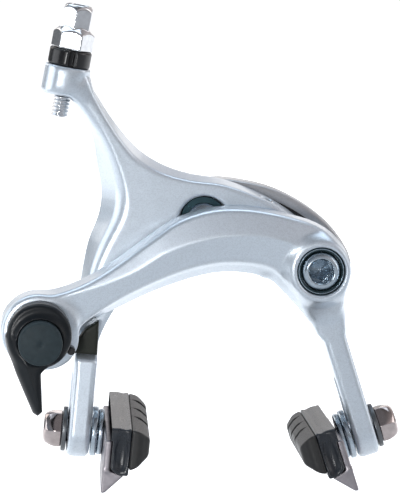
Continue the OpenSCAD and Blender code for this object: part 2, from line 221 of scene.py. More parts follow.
def net(values, low, size):
    """Surface net of the zero level of a grid of values, moved onto it, as points and quads."""
    inside = values < 0
    cell = tuple(n - 1 for n in values.shape)
    full = np.zeros(cell, np.int8)
    for a, b, c in itertools.product((0, 1), repeat=3):
        full += inside[a:cell[0] + a, b:cell[1] + b, c:cell[2] + c]
    cells = np.argwhere((full > 0) & (full < 8))
    number = np.full(values.shape, -1)
    number[tuple(cells.T)] = np.arange(len(cells))
    middle, count = np.zeros((len(cells), 3)), np.zeros(len(cells))
    quads = []
    for axis in range(3):
        u, w = [(1, 2), (2, 0), (0, 1)][axis]
        for shift in itertools.product((0, 1), repeat=2):
            first = np.zeros(3, int)
            first[u], first[w] = shift
            last = first.copy()
            last[axis] = 1
            va, vb = values[tuple((cells + first).T)], values[tuple((cells + last).T)]
            cross = (va < 0) != (vb < 0)
            t = np.where(cross, va / np.where(cross, va - vb, 1), 0)
            middle[cross] += first
            middle[cross, axis] += t[cross]
            count += cross
        near, far = [slice(None)] * 3, [slice(None)] * 3
        near[axis], far[axis] = slice(0, -1), slice(1, None)
        edges = np.argwhere(inside[tuple(near)] != inside[tuple(far)])
        edges = edges[(edges[:, u] > 0) & (edges[:, w] > 0)]
        du, dw = np.eye(3, dtype=int)[u], np.eye(3, dtype=int)[w]
        quad = np.stack([number[tuple((edges - back).T)] for back in (0 * du, du, du + dw, dw)], 1)
        outward = inside[tuple(edges.T)]
        quads.append(np.where(outward[:, None], quad, quad[:, ::-1]))
    points = cells + middle / count[:, None]
    slopes = np.stack(np.gradient(values), -1)
    for _ in range(3):
        base = np.clip(points.astype(int), 0, np.array(cell) - 1)
        part = points - base
        value, slope = 0, 0
        for corner in itertools.product((0, 1), repeat=3):
            weight = np.prod(np.where(corner, part, 1 - part), 1)
            index = tuple((base + np.array(corner)).T)
            value = value + weight * values[index]
            slope = slope + weight[:, None] * slopes[index]
        move = slope * (value / np.maximum((slope ** 2).sum(1), 1e-9))[:, None]
        points = points - np.clip(move, -0.4, 0.4)
    quads = np.concatenate(quads)
    return low + points * size, quads[(quads >= 0).all(1)]


def carve(name, field, low, high, size, at=None):
    """Mesh object of a distance field of x, y, z, sampled in its own frame."""
    low, high = np.array(low, float) - 2 * size, np.array(high, float) + 2 * size
    axes = [np.arange(a, b + size, size) for a, b in zip(low, high)]
    x, y, z = axes[0][:, None, None], axes[1][None, :, None], axes[2][None, None, :]
    shape = tuple(len(a) for a in axes)
    values = np.broadcast_to(field(x, y, z), shape).astype(float)
    points, quads = net(values, low, size)
    return mesh_object(name, points, quads, at)


def mesh_object(name, points, faces, at=None):
    """Smooth mesh object of points in millimetres, put in place by the matrix at."""
    at = np.eye(4) if at is None else at
    points = points @ at[:3, :3].T + at[:3, 3]
    if np.linalg.det(at[:3, :3]) < 0:
        faces = [list(f)[::-1] for f in faces]
    else:
        faces = [list(f) for f in faces]
    mesh = bpy.data.meshes.new(name)
    mesh.from_pydata((points * MM).tolist(), [], [[int(i) for i in f] for f in faces])
    mesh.validate()
    mesh.shade_smooth()
    thing = bpy.data.objects.new(name, mesh)
    bpy.context.scene.collection.objects.link(thing)
    return thing


def finish_piece(thing, material, body, slot, *nodes):
    """Give a piece its material and body, and hide the CAD nodes that it stands for. The slot is
    not used.
    """
    thing.data.materials.append(material)
    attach(thing, body)
    if nodes:
        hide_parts(*nodes)
    return thing


# ---------------------------------------------------------------- materials


# Colour sockets of a Mix node
MIX_A, MIX_B, MIX_RESULT = 6, 7, 2


def colour_ramp(tree, source, stops):
    """Colours, or greys given as one number, along a source from 0 to 1."""
    node = tree.nodes.new("ShaderNodeValToRGB")
    while len(node.color_ramp.elements) < len(stops):
        node.color_ramp.elements.new(0.5)
    for element, (position, colour) in zip(node.color_ramp.elements, stops):
        colour = colour if isinstance(colour, tuple) else (colour,) * 3
        element.position, element.color = position, (*colour, 1)
    tree.links.new(source, node.inputs["Fac"])
    return node.outputs["Color"]


class Surface:
    """A node material under construction, with a Principled shader."""

    def __init__(self, name, metallic, roughness, coat=0.0, coat_roughness=0.1, specular=0.5):
        self.material = bpy.data.materials.new(name)
        self.material.use_nodes = True
        self.tree = self.material.node_tree
        self.shader = self.tree.nodes["Principled BSDF"]
        self.shader.inputs["Metallic"].default_value = metallic
        self.shader.inputs["Roughness"].default_value = roughness
        self.shader.inputs["Coat Weight"].default_value = coat
        self.shader.inputs["Coat Roughness"].default_value = coat_roughness
        self.shader.inputs["Specular IOR Level"].default_value = specular
        self.place = self.tree.nodes.new("ShaderNodeTexCoord").outputs["Object"]

    def noise(self, scale, detail=3.0, stretch=None):
        """Soft noise, scaled unevenly where stretch is given."""
        node = self.tree.nodes.new("ShaderNodeTexNoise")
        node.inputs["Scale"].default_value = scale
        node.inputs["Detail"].default_value = detail
        place = self.place
        if stretch:
            mapping = self.tree.nodes.new("ShaderNodeMapping")
            mapping.inputs["Scale"].default_value = stretch
            self.tree.links.new(place, mapping.inputs["Vector"])
            place = mapping.outputs["Vector"]
        self.tree.links.new(place, node.inputs["Vector"])
        return node.outputs["Fac"]

    def flakes(self, scale):
        """A random number for each small cell."""
        node = self.tree.nodes.new("ShaderNodeTexVoronoi")
        node.inputs["Scale"].default_value = scale
        self.tree.links.new(self.place, node.inputs["Vector"])
        split = self.tree.nodes.new("ShaderNodeSeparateColor")
        self.tree.links.new(node.outputs["Color"], split.inputs["Color"])
        return split.outputs["Red"]

    def ramp(self, source, stops):
        return colour_ramp(self.tree, source, stops)

    def multiply(self, a, b):
        node = self.tree.nodes.new("ShaderNodeMix")
        node.data_type, node.blend_type = "RGBA", "MULTIPLY"
        node.inputs[0].default_value = 1.0
        self.tree.links.new(a, node.inputs[MIX_A])
        self.tree.links.new(b, node.inputs[MIX_B])
        return node.outputs[MIX_RESULT]

    def to(self, source, socket):
        """Link a source to a socket of the shader."""
        self.tree.links.new(source, self.shader.inputs[socket])

    def bump(self, source, strength, distance):
        node = self.tree.nodes.new("ShaderNodeBump")
        node.inputs["Strength"].default_value = strength
        node.inputs["Distance"].default_value = distance
        self.tree.links.new(source, node.inputs["Height"])
        self.to(node.outputs["Normal"], "Normal")


def paint(name, tint):
    """Silver paint: fine bright and dark flakes under a clear coat."""
    s = Surface(name, 0.72, 0.34, coat=0.35, coat_roughness=0.12)
    flakes = s.ramp(s.flakes(4600), [(0, 0.88), (0.5, 0.96), (1, 1.0)])
    cloud = s.ramp(s.noise(90), [(0.3, tuple(0.97 * c for c in tint)), (0.7, tint)])
    s.to(s.multiply(flakes, cloud), "Base Color")
    s.to(s.ramp(s.noise(1400), [(0.25, 0.30), (0.75, 0.40)]), "Roughness")
    s.bump(s.noise(2600, 2.0), 0.10, 0.00004)
    return s.material


def plated(name, tint, roughness, stretch=None):
    """Plated steel with faint turning marks and wear."""
    s = Surface(name, 1.0, roughness)
    dark = tuple(0.82 * c for c in tint)
    s.to(s.ramp(s.noise(700, 4.0, stretch), [(0.3, dark), (0.7, tint)]), "Base Color")
    spread = [(0.3, roughness * 0.8), (0.7, min(1.0, roughness * 1.3))]
    s.to(s.ramp(s.noise(1500, 3.0, stretch), spread), "Roughness")
    s.bump(s.noise(2400, 2.0, stretch), 0.08, 0.00003)
    return s.material


def moulded(name, tint, roughness, grain, depth, specular=0.25):
    """Moulded plastic or rubber with a fine grain."""
    s = Surface(name, 0.0, roughness, specular=specular)
    light = tuple(1.35 * c for c in tint)
    s.to(s.ramp(s.noise(grain / 4, 4.0), [(0.3, tint), (0.75, light)]), "Base Color")
    s.to(s.ramp(s.noise(grain), [(0.3, roughness * 0.85), (0.7, min(1.0, roughness * 1.2))]),
         "Roughness")
    s.bump(s.noise(grain, 2.0), 0.35, depth)
    return s.material


# Colours and finishes. Moulded ones end with the grain's scale and depth, and the gloss
ARM_PAINT = paint("silver_paint", (0.66, 0.73, 0.80))
# The bracket wears the arms' silver paint made darker: painted shade, as it sits in shadow behind
# the arms
SHADED_BRACKET_PAINT = paint("bracket_paint", (0.46, 0.47, 0.49))
CHROME = plated("chrome", (0.70, 0.71, 0.73), 0.14)
ZINC = plated("bright_zinc", (0.72, 0.73, 0.74), 0.24)
BLUE_ZINC = plated("blue_zinc", (0.50, 0.58, 0.65), 0.22)
NUT_METAL = plated("nut_metal", (0.52, 0.46, 0.45), 0.13)
SHOE_METAL = plated("shoe_metal", (0.33, 0.31, 0.33), 0.40)
DARK_STEEL = plated("dark_steel", (0.16, 0.17, 0.18), 0.36)
BLUE_STEEL = plated("blue_steel", (0.045, 0.085, 0.10), 0.34)
BRONZE = plated("bronze", (0.62, 0.44, 0.24), 0.35)
LEVER_PLASTIC = moulded("lever_plastic", (0.004, 0.006, 0.008), 0.33, 2200, 0.00004, 0.25)
CAP_PLASTIC = moulded("cap_plastic", (0.018, 0.028, 0.033), 0.55, 3000, 0.00005, 0.2)
NYLON = moulded("black_nylon", (0.006, 0.006, 0.007), 0.22, 1800, 0.00003, 0.5)
RING_NYLON = moulded("ring_nylon", (0.016, 0.034, 0.040), 0.36, 1800, 0.00003)
STOP_PLASTIC = moulded("cover_plastic", (0.010, 0.012, 0.008), 0.45, 2600, 0.00005)
HOLDER_PLASTIC = moulded("holder_plastic", (0.008, 0.011, 0.016), 0.30, 2200, 0.00006, 0.5)
RUBBER = moulded("pad_rubber", (0.012, 0.012, 0.012), 0.42, 3200, 0.00008, 0.4)

# ---------------------------------------------------------------- the two forged arms

ARM_GRID = 0.36

# Front and back of each arm, the depths where its CAD outline is read, and where the outlines
# blend: from the start, one layer gives way to the next over each step
REAR_ARM_Y = (-17.5, -9.0)
REAR_LAYERS = (-16.5, -15.55, -9.5)
REAR_LAYER_START, REAR_LAYER_STEP = -17.5, 3.4
FRONT_ARM_Y = (-26.0, -18.2)
FRONT_LAYERS = (-25, -22.5, -19.5)
FRONT_LAYER_START, FRONT_LAYER_STEP = -25.5, 3.0

# Foot of each arm: the depth of its middle, its half sizes, and the slot for the shoe's stud
FOOT_Y = joint_at("left_shoe_turn")[1]
FOOT_HALF_DEPTH = 6.0
FOOT_HALF = 2.5
FOOT_LOW = -9.0
SLOT_R = 3.15
SLOT_TRAVEL = 10.0

# Rear arm: its hub, the adjuster's boss and the holes
REAR_HUB_R = 7.0
BOSS_R, BOSS_LONG = 4.5, 5.8
STEM_HOLE_R = 2.05
RECESS_R, RECESS_FLOOR = 5.5, -15.0
CENTRE_HOLE_R = 5.1
SCREW_HOLE_R, SCREW_HOLE_LOW = 1.6, -12.0

# Front arm: its hubs on the side pivot and the quick release, and the holes
SIDE_HUB_R, SIDE_BOSS_R, SIDE_BOSS_BACK = 6.1, 6.3, -9.02
LEVER_HUB_R = 7.6
HEAD_RECESS_R, HEAD_RECESS_FLOOR = 5.4, -23.4
SIDE_HOLE_R = 4.6
SHAFT_HOLE_R = 4.05
LOBE_R, LOBE_SHIFT, LOBE_CORNER_R = 8, 1.7, 7

# Ridge line along the front arm's face, as (x, z)
RIDGE = [(-50, -14.5), (-33.8, -13), (-25.2, -11.6), (-16.4, -8.9), (-9.3, -5.4), (-3.2, -3.7),
         (5.4, -2.9), (13.9, -4), (19.2, -6.1), (24, -9), (34, -16)]


def smooth_line(x, points):
    """Height at x of a smooth curve through points, by a Catmull-Rom spline."""
    px, pz = np.array(points, float).T
    slope = np.gradient(pz, px)
    k = np.clip(np.searchsorted(px, x) - 1, 0, len(px) - 2)
    wide = px[k + 1] - px[k]
    t = np.clip((x - px[k]) / wide, 0, 1)
    return ((2 * t ** 3 - 3 * t ** 2 + 1) * pz[k] + (t ** 3 - 2 * t ** 2 + t) * wide * slope[k]
            + (3 * t ** 2 - 2 * t ** 3) * pz[k + 1] + (t ** 3 - t ** 2) * wide * slope[k + 1])


def leg(x, z, turn_joint, slide_joint):
    """Across and up an arm's leg, from the shoe stud's axis."""
    foot, up = joint_at(turn_joint), joint_axis(slide_joint)
    height = (x - foot[0]) * up[0] + (z - foot[2]) * up[2]
    across = (x - foot[0]) * up[2] - (z - foot[2]) * up[0]
    return across, height


def with_slot(solid, y, height):
    """A leg with the slot that lets a shoe's stud move up it."""
    over = np.maximum(height - SLOT_TRAVEL, 0) + np.minimum(height, 0)
    return without(solid, np.hypot(y - FOOT_Y, over) - SLOT_R, 0.4)


def layered(node, depths, t, x, z):
    """A node's outline, read at three depths and blended as t goes from 0 to 2."""
    front, middle, back = (Outline(node, depth).distance(x, z) for depth in depths)
    return np.where(t < 1, front + (middle - front) * t, middle + (back - middle) * (t - 1))


def foot_depth(y, height):
    """Rounded bottom of a foot, seen from the side."""
    return np.hypot(y - FOOT_Y, np.minimum(height, 0)) - FOOT_HALF_DEPTH


def rear_arm(x, y, z):
    """The Y-shaped arm, with the adjuster's boss at its top and the left shoe's foot below."""
    t = np.clip((y - REAR_LAYER_START) / REAR_LAYER_STEP, 0, 2)
    edge = layered("rear_arm", REAR_LAYERS, t, x, z)
    centre_far = np.hypot(x, z)
    across, height = leg(x, z, "left_shoe_turn", "left_shoe_height")
    bar = np.maximum(np.abs(across) - FOOT_HALF, between(height, FOOT_LOW, 17))
    edge = np.minimum(np.minimum(edge, centre_far - REAR_HUB_R), bar)

    # Edges grow rounder to the left of a bent line, and again down the leg
    line_x = -12.5 - 0.3 * np.maximum(z, 0) + 0.75 * np.minimum(z, 0)
    radius = 0.7 + 1.3 * step(line_x - x, 0, 3) * step(z, -30, -22)
    radius = radius + 0.5 * step(-z, 26, 32)

    above_foot = step(height, 16.4, 19)
    depth = foot_depth(y, height) * (1 - above_foot) + between(y, *REAR_ARM_Y) * above_foot
    solid = both(edge, depth, radius)
    u, v, w = to_adjuster(x, y, z)
    stem_far = np.hypot(u, v)
    solid = either(solid, both(stem_far - BOSS_R, between(w, -BOSS_LONG, 0), 0.5), 3.0)
    solid = np.maximum(solid, w)
    solid = without(solid, np.maximum(stem_far - STEM_HOLE_R, between(w, -30, 2)), 0.3)
    solid = without(solid, np.maximum(centre_far - RECESS_R, y - RECESS_FLOOR), 0.35)
    solid = without(solid, centre_far - CENTRE_HOLE_R, 0.2)
    screw = joint_at("centring_screw_turn")
    screw_far = np.hypot(x - screw[0], y - screw[1])
    solid = without(solid, np.maximum(screw_far - SCREW_HOLE_R, SCREW_HOLE_LOW - z), 0.2)
    return with_slot(solid, y, height)


def to_adjuster(x, y, z):
    """Coordinates along the adjuster: right, back and up its axis, from the top of the boss."""
    origin = joint_at("adjuster_turn") - 5 * ADJUSTER_AXIS
    dx, dy, dz = x - origin[0], y - origin[1], z - origin[2]
    up = ADJUSTER_AXIS
    return dx * up[2] - dz * up[0], dy, dx * up[0] + dz * up[2]


def front_arm(x, y, z):
    """The C-shaped arm: a ridged bow between two flat hubs, and the right shoe's leg behind it."""
    t = np.clip((y - FRONT_LAYER_START) / FRONT_LAYER_STEP, 0, 2)
    edge = layered("front_arm", FRONT_LAYERS, t, x, z)
    across, height = leg(x, z, "right_shoe_turn", "right_shoe_height")
    side_far, lever_far = off_axis(x, z, SIDE), off_axis(x, z, LEVER)
    edge = np.minimum(np.minimum(edge, side_far - SIDE_HUB_R), lever_far - LEVER_HUB_R)

    # The face slopes back on both sides of the ridge, and steps back to the leg
    rise = z - smooth_line(x, RIDGE)
    slope = 0.30 * np.sqrt(np.maximum(rise, 0) ** 2 + 0.1) + 0.20 * np.maximum(-rise, 0)
    off_hubs = step(side_far, 6.5, 9) * step(lever_far, 8.2, 11)
    to_leg = step(34 - height, 0, 13) * step(x, 10, 18)
    front = FRONT_ARM_Y[0] + slope * off_hubs + 5.5 * to_leg
    arm = both(edge, np.maximum(front - y, y - FRONT_ARM_Y[1]), 0.8)

    neck = both(Outline("front_arm", -12).distance(x, z), 24 - height, 1.0)
    bar = np.maximum(np.abs(across) - FOOT_HALF, between(height, FOOT_LOW, 27))
    low = np.minimum(either(neck, bar, 2.0), side_far - 5.8)
    back = y - FOOT_Y - FOOT_HALF_DEPTH + 0.6 * step(height, 23, 27)
    solid = either(arm, both(low, np.maximum(foot_depth(y, height), back), 1.1), 1.5)
    boss = both(side_far - SIDE_BOSS_R, between(y, FRONT_ARM_Y[0], SIDE_BOSS_BACK), 0.5)
    solid = either(solid, boss, 1.2)

    corner_far = np.hypot(x - LEVER[0] - LOBE_SHIFT, z - LEVER[2] + LOBE_SHIFT)
    lobe = np.minimum(lever_far - LOBE_R, corner_far - LOBE_CORNER_R)
    lobe = both(lobe, between(y, FRONT_ARM_Y[0] + 0.05, FRONT_ARM_Y[1]), 0.7)
    solid = either(solid, lobe, 1.2)
    solid = without(solid, np.maximum(side_far - HEAD_RECESS_R, y - HEAD_RECESS_FLOOR), 0.35)
    solid = without(solid, side_far - SIDE_HOLE_R, 0.2)
    solid = without(solid, lever_far - SHAFT_HOLE_R, 0.2)
    return with_slot(solid, y, height)


def node_carve(name, node, field, size):
    """Mesh object of a distance field, sampled over the box of a CAD node."""
    low, high = np.array(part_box(node)) / MM
    return carve(name, field, low, high, size)


finish_piece(node_carve("rear_arm_forging", "rear_arm", rear_arm, ARM_GRID),
             ARM_PAINT, "rear_arm", "arm_paint", "rear_arm")
finish_piece(node_carve("front_arm_forging", "front_arm", front_arm, ARM_GRID),
             ARM_PAINT, "front_arm", "arm_paint", "front_arm")

# ---------------------------------------------------------------- bracket


BRACKET_CUT = -5
BRACKET_Y = (-8.5, -2.5)
BRACKET_HUB_Y = (-8.4, -2.5)
BRACKET_WALL, BRACKET_FLOOR = 3.2, -4.2
# Depths of the black sheet that paints the shade in the gap between the arms and the bracket
SHADE_SHEET_Y = (-8.85, -8.5)


def bracket(x, y, z):
    """A dished casting with a hub on each pivot."""
    centre_far, side_far = np.hypot(x, z), off_axis(x, z, SIDE)
    edge = Outline("pivot_bracket", BRACKET_CUT).distance(x, z)
    edge = np.minimum(edge, centre_far - 5)
    solid = both(edge, between(y, *BRACKET_Y), 0.7)
    solid = without(solid, np.maximum(edge + BRACKET_WALL, BRACKET_FLOOR - y), 0.8)
    for far, hub_r in ((centre_far, 6.5), (side_far, 5.5)):
        solid = np.minimum(solid, both(far - hub_r, between(y, *BRACKET_HUB_Y), 0.3))
    for far, hole_r in ((centre_far, 3.3), (side_far, 3)):
        solid = without(solid, far - hole_r, 0.2)
    return solid


def shade_sheet(x, y, z):
    """A thin dark sheet on the casting's front, clear of both hubs: painted shade in the gap
    between the arms and the casting.
    """
    edge = Outline("pivot_bracket", BRACKET_CUT).distance(x, z) + 2.2
    solid = both(edge, between(y, *SHADE_SHEET_Y), 0.12)
    for far, hole_r in ((np.hypot(x, z), 7.8), (off_axis(x, z, SIDE), 6)):
        solid = without(solid, far - hole_r, 0.1)
    return solid


# The casting takes the darkened silver paint, which paints the shade behind the arms
finish_piece(node_carve("bracket_casting", "pivot_bracket", bracket, 0.3),
             SHADED_BRACKET_PAINT, "bracket", "bracket_paint", "pivot_bracket")
# Painted shade: a black sheet where the gap between the arms and the bracket lies in shadow
finish_piece(carve("bracket_shade_sheet", shade_sheet, (-9.5, -8.9, -22), (33.5, -8.4, 8.5), 0.14),
             NYLON, "bracket", "nylon")

# ---------------------------------------------------------------- turned parts


def along_y(centre):
    """Frame of a part turned about the y axis: its z points forwards."""
    return place((centre[0], 0, centre[2]), (1, 0, 0), (0, -1, 0))


ROWS_PER_PITCH = 8


def lathe(name, profile, at, segments=72, pitch=0.0, depth=0.0, threaded=None):
    """Turn a closed profile of (radius, height) about z. threaded is its threaded heights."""
    points, faces = [], []
    if threaded:
        low, high = threaded
        fine = []
        for (r0, h0), (r1, h1) in zip(profile, profile[1:] + profile[:1]):
            fine.append((r0, h0))
            if r0 == r1 and min(h0, h1) <= low and max(h0, h1) >= high:
                n = int(abs(h1 - h0) / pitch * ROWS_PER_PITCH)
                fine += [(r0, h0 + (h1 - h0) * i / n) for i in range(1, n)]
        profile = fine
    n = len(profile)
    for s in range(segments):
        angle = 2 * math.pi * s / segments
        for r, h in profile:
            if threaded and threaded[0] < h < threaded[1] and r > depth:
                fade = min(1, (h - threaded[0]) / pitch, (threaded[1] - h) / pitch)
                phase = (h / pitch - s / segments) % 1.0
                r = r - depth * fade * 2 * abs(phase - 0.5)
            points.append((r * math.cos(angle), r * math.sin(angle), h))
        for k in range(n):
            a, b = s * n + k, s * n + (k + 1) % n
            c, d = (b + n) % (n * segments), (a + n) % (n * segments)
            faces.append((a, d, c, b))
    return mesh_object(name, np.array(points), faces, at)


def bevelled(r_in, r_out, low, high, bevel):
    """Profile of a ring with its four edges bevelled, from the inside up and round."""
    return [(r_in, low + bevel), (r_in, high - bevel), (r_in + bevel, high),
            (r_out - bevel, high), (r_out, high - bevel), (r_out, low + bevel),
            (r_out - bevel, low), (r_in + bevel, low)]


def sharpen(thing, degrees=32):
    """Shade the flat facets of a turned part flat."""
    thing.data.set_sharp_from_angle(angle=math.radians(degrees))
    return thing


CENTRE_AT = along_y((0, 0, 0))
SIDE_AT = along_y(SIDE)
LEVER_AT = along_y(LEVER)

bolt_side = [(0.02, -24), (2.5, -24), (3, -23.5), (3, 0.3), (3.3, 0.5), (3.3, 8.5), (4, 8.5),
             (4, 15.35), (2.5, 15.35), (2.5, 17.3), (0.02, 17.3)]
bolt = lathe("mounting_bolt", bolt_side, CENTRE_AT, pitch=1.0, depth=0.5, threaded=(-23.5, 0.3))
finish_piece(sharpen(bolt), ZINC, "bracket", "zinc_steel", "centre_bolt")


WASHER_TEETH, TOOTH_DEPTH = 16, 0.72


def crown_washer(x, y, z):
    """Washer with teeth around its back face."""
    rho, angle = np.hypot(x, z), np.arctan2(z, x)
    wave = np.abs(((angle * WASHER_TEETH / (2 * math.pi)) % 1.0) - 0.5)
    solid = both(rho - 6.5, between(y, -2.5, -TOOTH_DEPTH * wave * step(rho, 4.2, 5.2)), 0.2)
    return without(solid, rho - 3.35, 0.1)


finish_piece(node_carve("crown_washer_toothed", "crown_washer", crown_washer, 0.13),
             DARK_STEEL, "bracket", "dark_steel", "crown_washer")


CENTRE_NUT_R, CENTRE_NUT_Y = 3.9, (-17.7, -15.72)


def centre_nut(x, y, z):
    """A domed cap nut with a small dimple."""
    rho = np.hypot(x, z)
    dome = np.hypot(rho, y + 12.2) - 5.5
    solid = both(both(rho - CENTRE_NUT_R, between(y, *CENTRE_NUT_Y), 0.4), dome, 0.2)
    dimple = np.hypot(rho, y + 19) - 2.0
    return without(solid, dimple, 0.3)


finish_piece(node_carve("centre_cap_nut", "centre_nut", centre_nut, 0.12),
             BLUE_ZINC, "bracket", "zinc_steel", "centre_nut")
ring = lathe("centre_lock_ring", bevelled(2.55, 5.2, 15.05, 15.68, 0.12), CENTRE_AT)
finish_piece(sharpen(ring), BLUE_STEEL, "bracket", "zinc_steel", "centre_lock_washer")


HEAD_R, HEAD_Y = 4.4, (-26.3, -23.8)
SOCKET_FLATS, SOCKET_TURN, SOCKET_FLOOR = 5.0, 10, -23.2
SHANK_R, SHANK_Y = 3.5, (-24, -8.5)
TIP_R, TIP_Y = 3.0, (-9, -2.7)


def side_head(x, y, z):
    """Socket head with a coned rim, a hex socket and its shank."""
    rho, top = off_axis(x, z, SIDE), HEAD_Y[0]
    head = both(rho - HEAD_R, between(y, *HEAD_Y), 0.35)
    head = both(head, (rho - 3.2 - 1.2 * (y - top)) * 0.64, 0.5)
    shank = np.maximum(rho - SHANK_R, between(y, *SHANK_Y))
    tip = both(rho - TIP_R, between(y, *TIP_Y), 0.3)
    solid = np.minimum(np.minimum(head, shank), tip)
    key = hexagon(x - SIDE[0], z - SIDE[2], SOCKET_FLATS, SOCKET_TURN)
    socket = np.maximum(key, y - SOCKET_FLOOR - 0.5 * rho)
    chamfer = (rho - 3.1 + (y - top) * 0.9) * 0.74
    return without(without(solid, socket, 0.15), np.maximum(chamfer, y + 25.6), 0.1)


finish_piece(node_carve("side_socket_bolt", "side_pivot_bolt", side_head, 0.12),
             BLUE_ZINC, "bracket", "zinc_steel", "side_pivot_bolt")
ring = lathe("side_dust_seal", bevelled(4.5, 5.3, 23.82, 25.5, 0.25), SIDE_AT)
finish_piece(sharpen(ring), RING_NYLON, "bracket", "nylon", "side_dust_ring")
ring = lathe("side_seal_band", bevelled(4.86, 5.06, 25.3, 25.65, 0.06), SIDE_AT)
finish_piece(sharpen(ring), BLUE_ZINC, "bracket", "zinc_steel")
ring = lathe("side_thin_washer", bevelled(3.55, 5.2, 23.45, 23.8, 0.08), SIDE_AT)
finish_piece(sharpen(ring), BLUE_ZINC, "bracket", "zinc_steel", "side_head_washer")

# ---------------------------------------------------------------- barrel adjuster

BOSS_AT = place(joint_at("adjuster_turn") - 5 * ADJUSTER_AXIS, np.cross((0, 1, 0), ADJUSTER_AXIS),
                ADJUSTER_AXIS)
SKIRT_FLATS, SKIRT_TURN = 8.14, 22
UPPER_FLATS, BARREL_TOP = 6.41, 13.8
STEM_R, STEM_PITCH, STEM_THREAD = 1.95, 0.8, 0.32
HOUSING_R, HOUSING_FLOOR = 2.55, 7.8
CABLE_HOLE_R = 0.9


def barrel(x, y, z):
    """Threaded stem, wide hexagon and narrow hexagon, with the cable housing's seat on top."""
    rho, angle = np.hypot(x, y), np.arctan2(y, x)
    rod = thread(rho, angle, z, STEM_R, STEM_PITCH, STEM_THREAD)
    stem = both(rod, between(z, -11.4, 4.2), 0.15)
    skirt = both(hexagon(x, y, SKIRT_FLATS, SKIRT_TURN), between(z, 3.82, 9.2), 0.25)
    skirt = both(skirt, (rho + z - 12.0) * SLOPE_45, 0.15)
    upper = both(hexagon(x, y, UPPER_FLATS, SKIRT_TURN + 30), between(z, 5, BARREL_TOP), 0.3)
    upper = both(upper, (rho + 0.8 * z - 13.8) * 0.78, 0.2)
    solid = np.minimum(np.minimum(stem, skirt), upper)
    solid = without(solid, np.maximum(rho - HOUSING_R, HOUSING_FLOOR - z), 0.25)
    return without(solid, rho - CABLE_HOLE_R, 0.1)


finish_piece(carve("adjuster_hex_barrel", barrel, (-4.8, -4.8, -11.5), (4.8, 4.8, 13.9), 0.13,
                   BOSS_AT),
             CHROME, "adjuster_barrel", "chrome", "adjuster_barrel")


RING_R, RING_HEIGHTS = 4.8, (0.05, 3.75)


def lock_ring(x, y, z):
    """Smooth ring with a notch at each quarter."""
    rho = np.hypot(x, y)
    solid = both(rho - RING_R, between(z, *RING_HEIGHTS), 0.5)
    notch = np.minimum(np.abs(x - 0.3), np.abs(y)) - 0.4 - 0.6 * step(rho, 4, 4.9)
    solid = without(solid, np.maximum(notch, 3.8 - rho), 0.2)
    return without(solid, rho - 2.0, 0.2)


finish_piece(carve("adjuster_lock_ring", lock_ring, (-4.9, -4.9, 0), (4.9, 4.9, 3.8), 0.12,
                   BOSS_AT),
             NYLON, "adjuster_ring", "black_plastic", "adjuster_ring")

# ---------------------------------------------------------------- quick release and cable anchor

CAP = [sum(span("lever_cap", 0)) / 2, 0, sum(span("lever_cap", 2)) / 2]
HUB_R, HUB_Y = 7.1, (-32, -26.2)
BLADE_FRONT, BLADE_BACK = -33, -28
CAP_SEAT_R, CAP_SEAT_FLOOR = 4.95, -31.2
STOP_AT, STOP_R, STOP_Y = (-32.1, 0, -24.7), 0.95, (-28.6, -25.6)


def lever(x, y, z):
    """A round hub with a seat for the cap, and a blade that falls back towards its left edge."""
    far, cap_far = off_axis(x, z, LEVER), off_axis(x, z, CAP)
    hub = both(far - HUB_R, between(y, *HUB_Y), 1.0)
    blade = Outline("quick_release_lever", -32.5).distance(x, z)
    blade = np.minimum(blade, cap_far - 5.3)
    spine_x = -43.6 + 0.22 * (-20 - z)
    front = BLADE_FRONT + 0.8 * np.maximum(spine_x - x, 0)
    blade = both(blade, np.maximum(front - y, y - BLADE_BACK), 1.2)
    solid = either(hub, blade, 1.5)
    solid = without(solid, np.maximum(cap_far - CAP_SEAT_R, y - CAP_SEAT_FLOOR), 0.3)
    shaft_seat = np.maximum(far - 4, y + 26) + np.maximum(-31 - y, 0)
    return without(solid, shaft_seat, 0.2)


finish_piece(node_carve("quick_release_blade", "quick_release_lever", lever, 0.2),
             LEVER_PLASTIC, "lever", "black_plastic", "quick_release_lever")
cap_side = [(0.02, 30), (4.85, 30), (4.85, 35.2), (4.7, 35.55), (4.35, 35.72), (3.9, 35.72),
            (3.6, 35.8), (2.4, 35.92), (1.2, 35.98), (0.02, 36)]
cap = lathe("lever_cap_disc", cap_side, along_y(CAP), 96)
finish_piece(cap, CAP_PLASTIC, "lever", "black_plastic", "lever_cap")


def lever_stop(x, y, z):
    """A round pin on the front arm, just outside the lever's hub."""
    return both(off_axis(x, z, STOP_AT) - STOP_R, between(y, *STOP_Y), 0.4)


finish_piece(carve("lever_stop_pin", lever_stop, (-33.1, -28.6, -25.7), (-31.1, -25.6, -23.7), 0.1),
             NYLON, "front_arm", "black_plastic")
shaft_side = [(3.8, 29.9), (4, 29.7), (4, 16.8), (3.8, 16.6), (2.8, 16.6), (2.5, 16.7), (2.5, 22),
              (0.02, 22), (0.02, 29.9)]
shaft = lathe("cam_shaft_turned", shaft_side, LEVER_AT)
finish_piece(sharpen(shaft), ZINC, "lever", "zinc_steel", "cam_shaft")


ANCHOR_PLATE_Y = (-16.6, -15.2)
ANCHOR_BOLT_R, ANCHOR_BOLT_Y = 2.5, (-22, -13.5)
ANCHOR_FLATS, ANCHOR_HEAD_Y = 9, (-13.4, -9.6)
ANCHOR_FLANGE_R, ANCHOR_FLANGE_Y = 5.4, (-14, -13.2)


def anchor_plate(x, y, z):
    """A round plate with a tongue to its left, under which the cable is held."""
    dx, dz = x - LEVER[0], z - LEVER[2]
    rho, slab = np.hypot(dx, dz), between(y, *ANCHOR_PLATE_Y)
    solid = both(rho - 5.4, slab, 0.3)
    tongue = both(np.maximum(np.abs(dx + 5.1) - 1.5, np.abs(dz) - 3), slab, 0.3)
    return without(either(solid, tongue, 0.3), rho - ANCHOR_BOLT_R, 0.1)


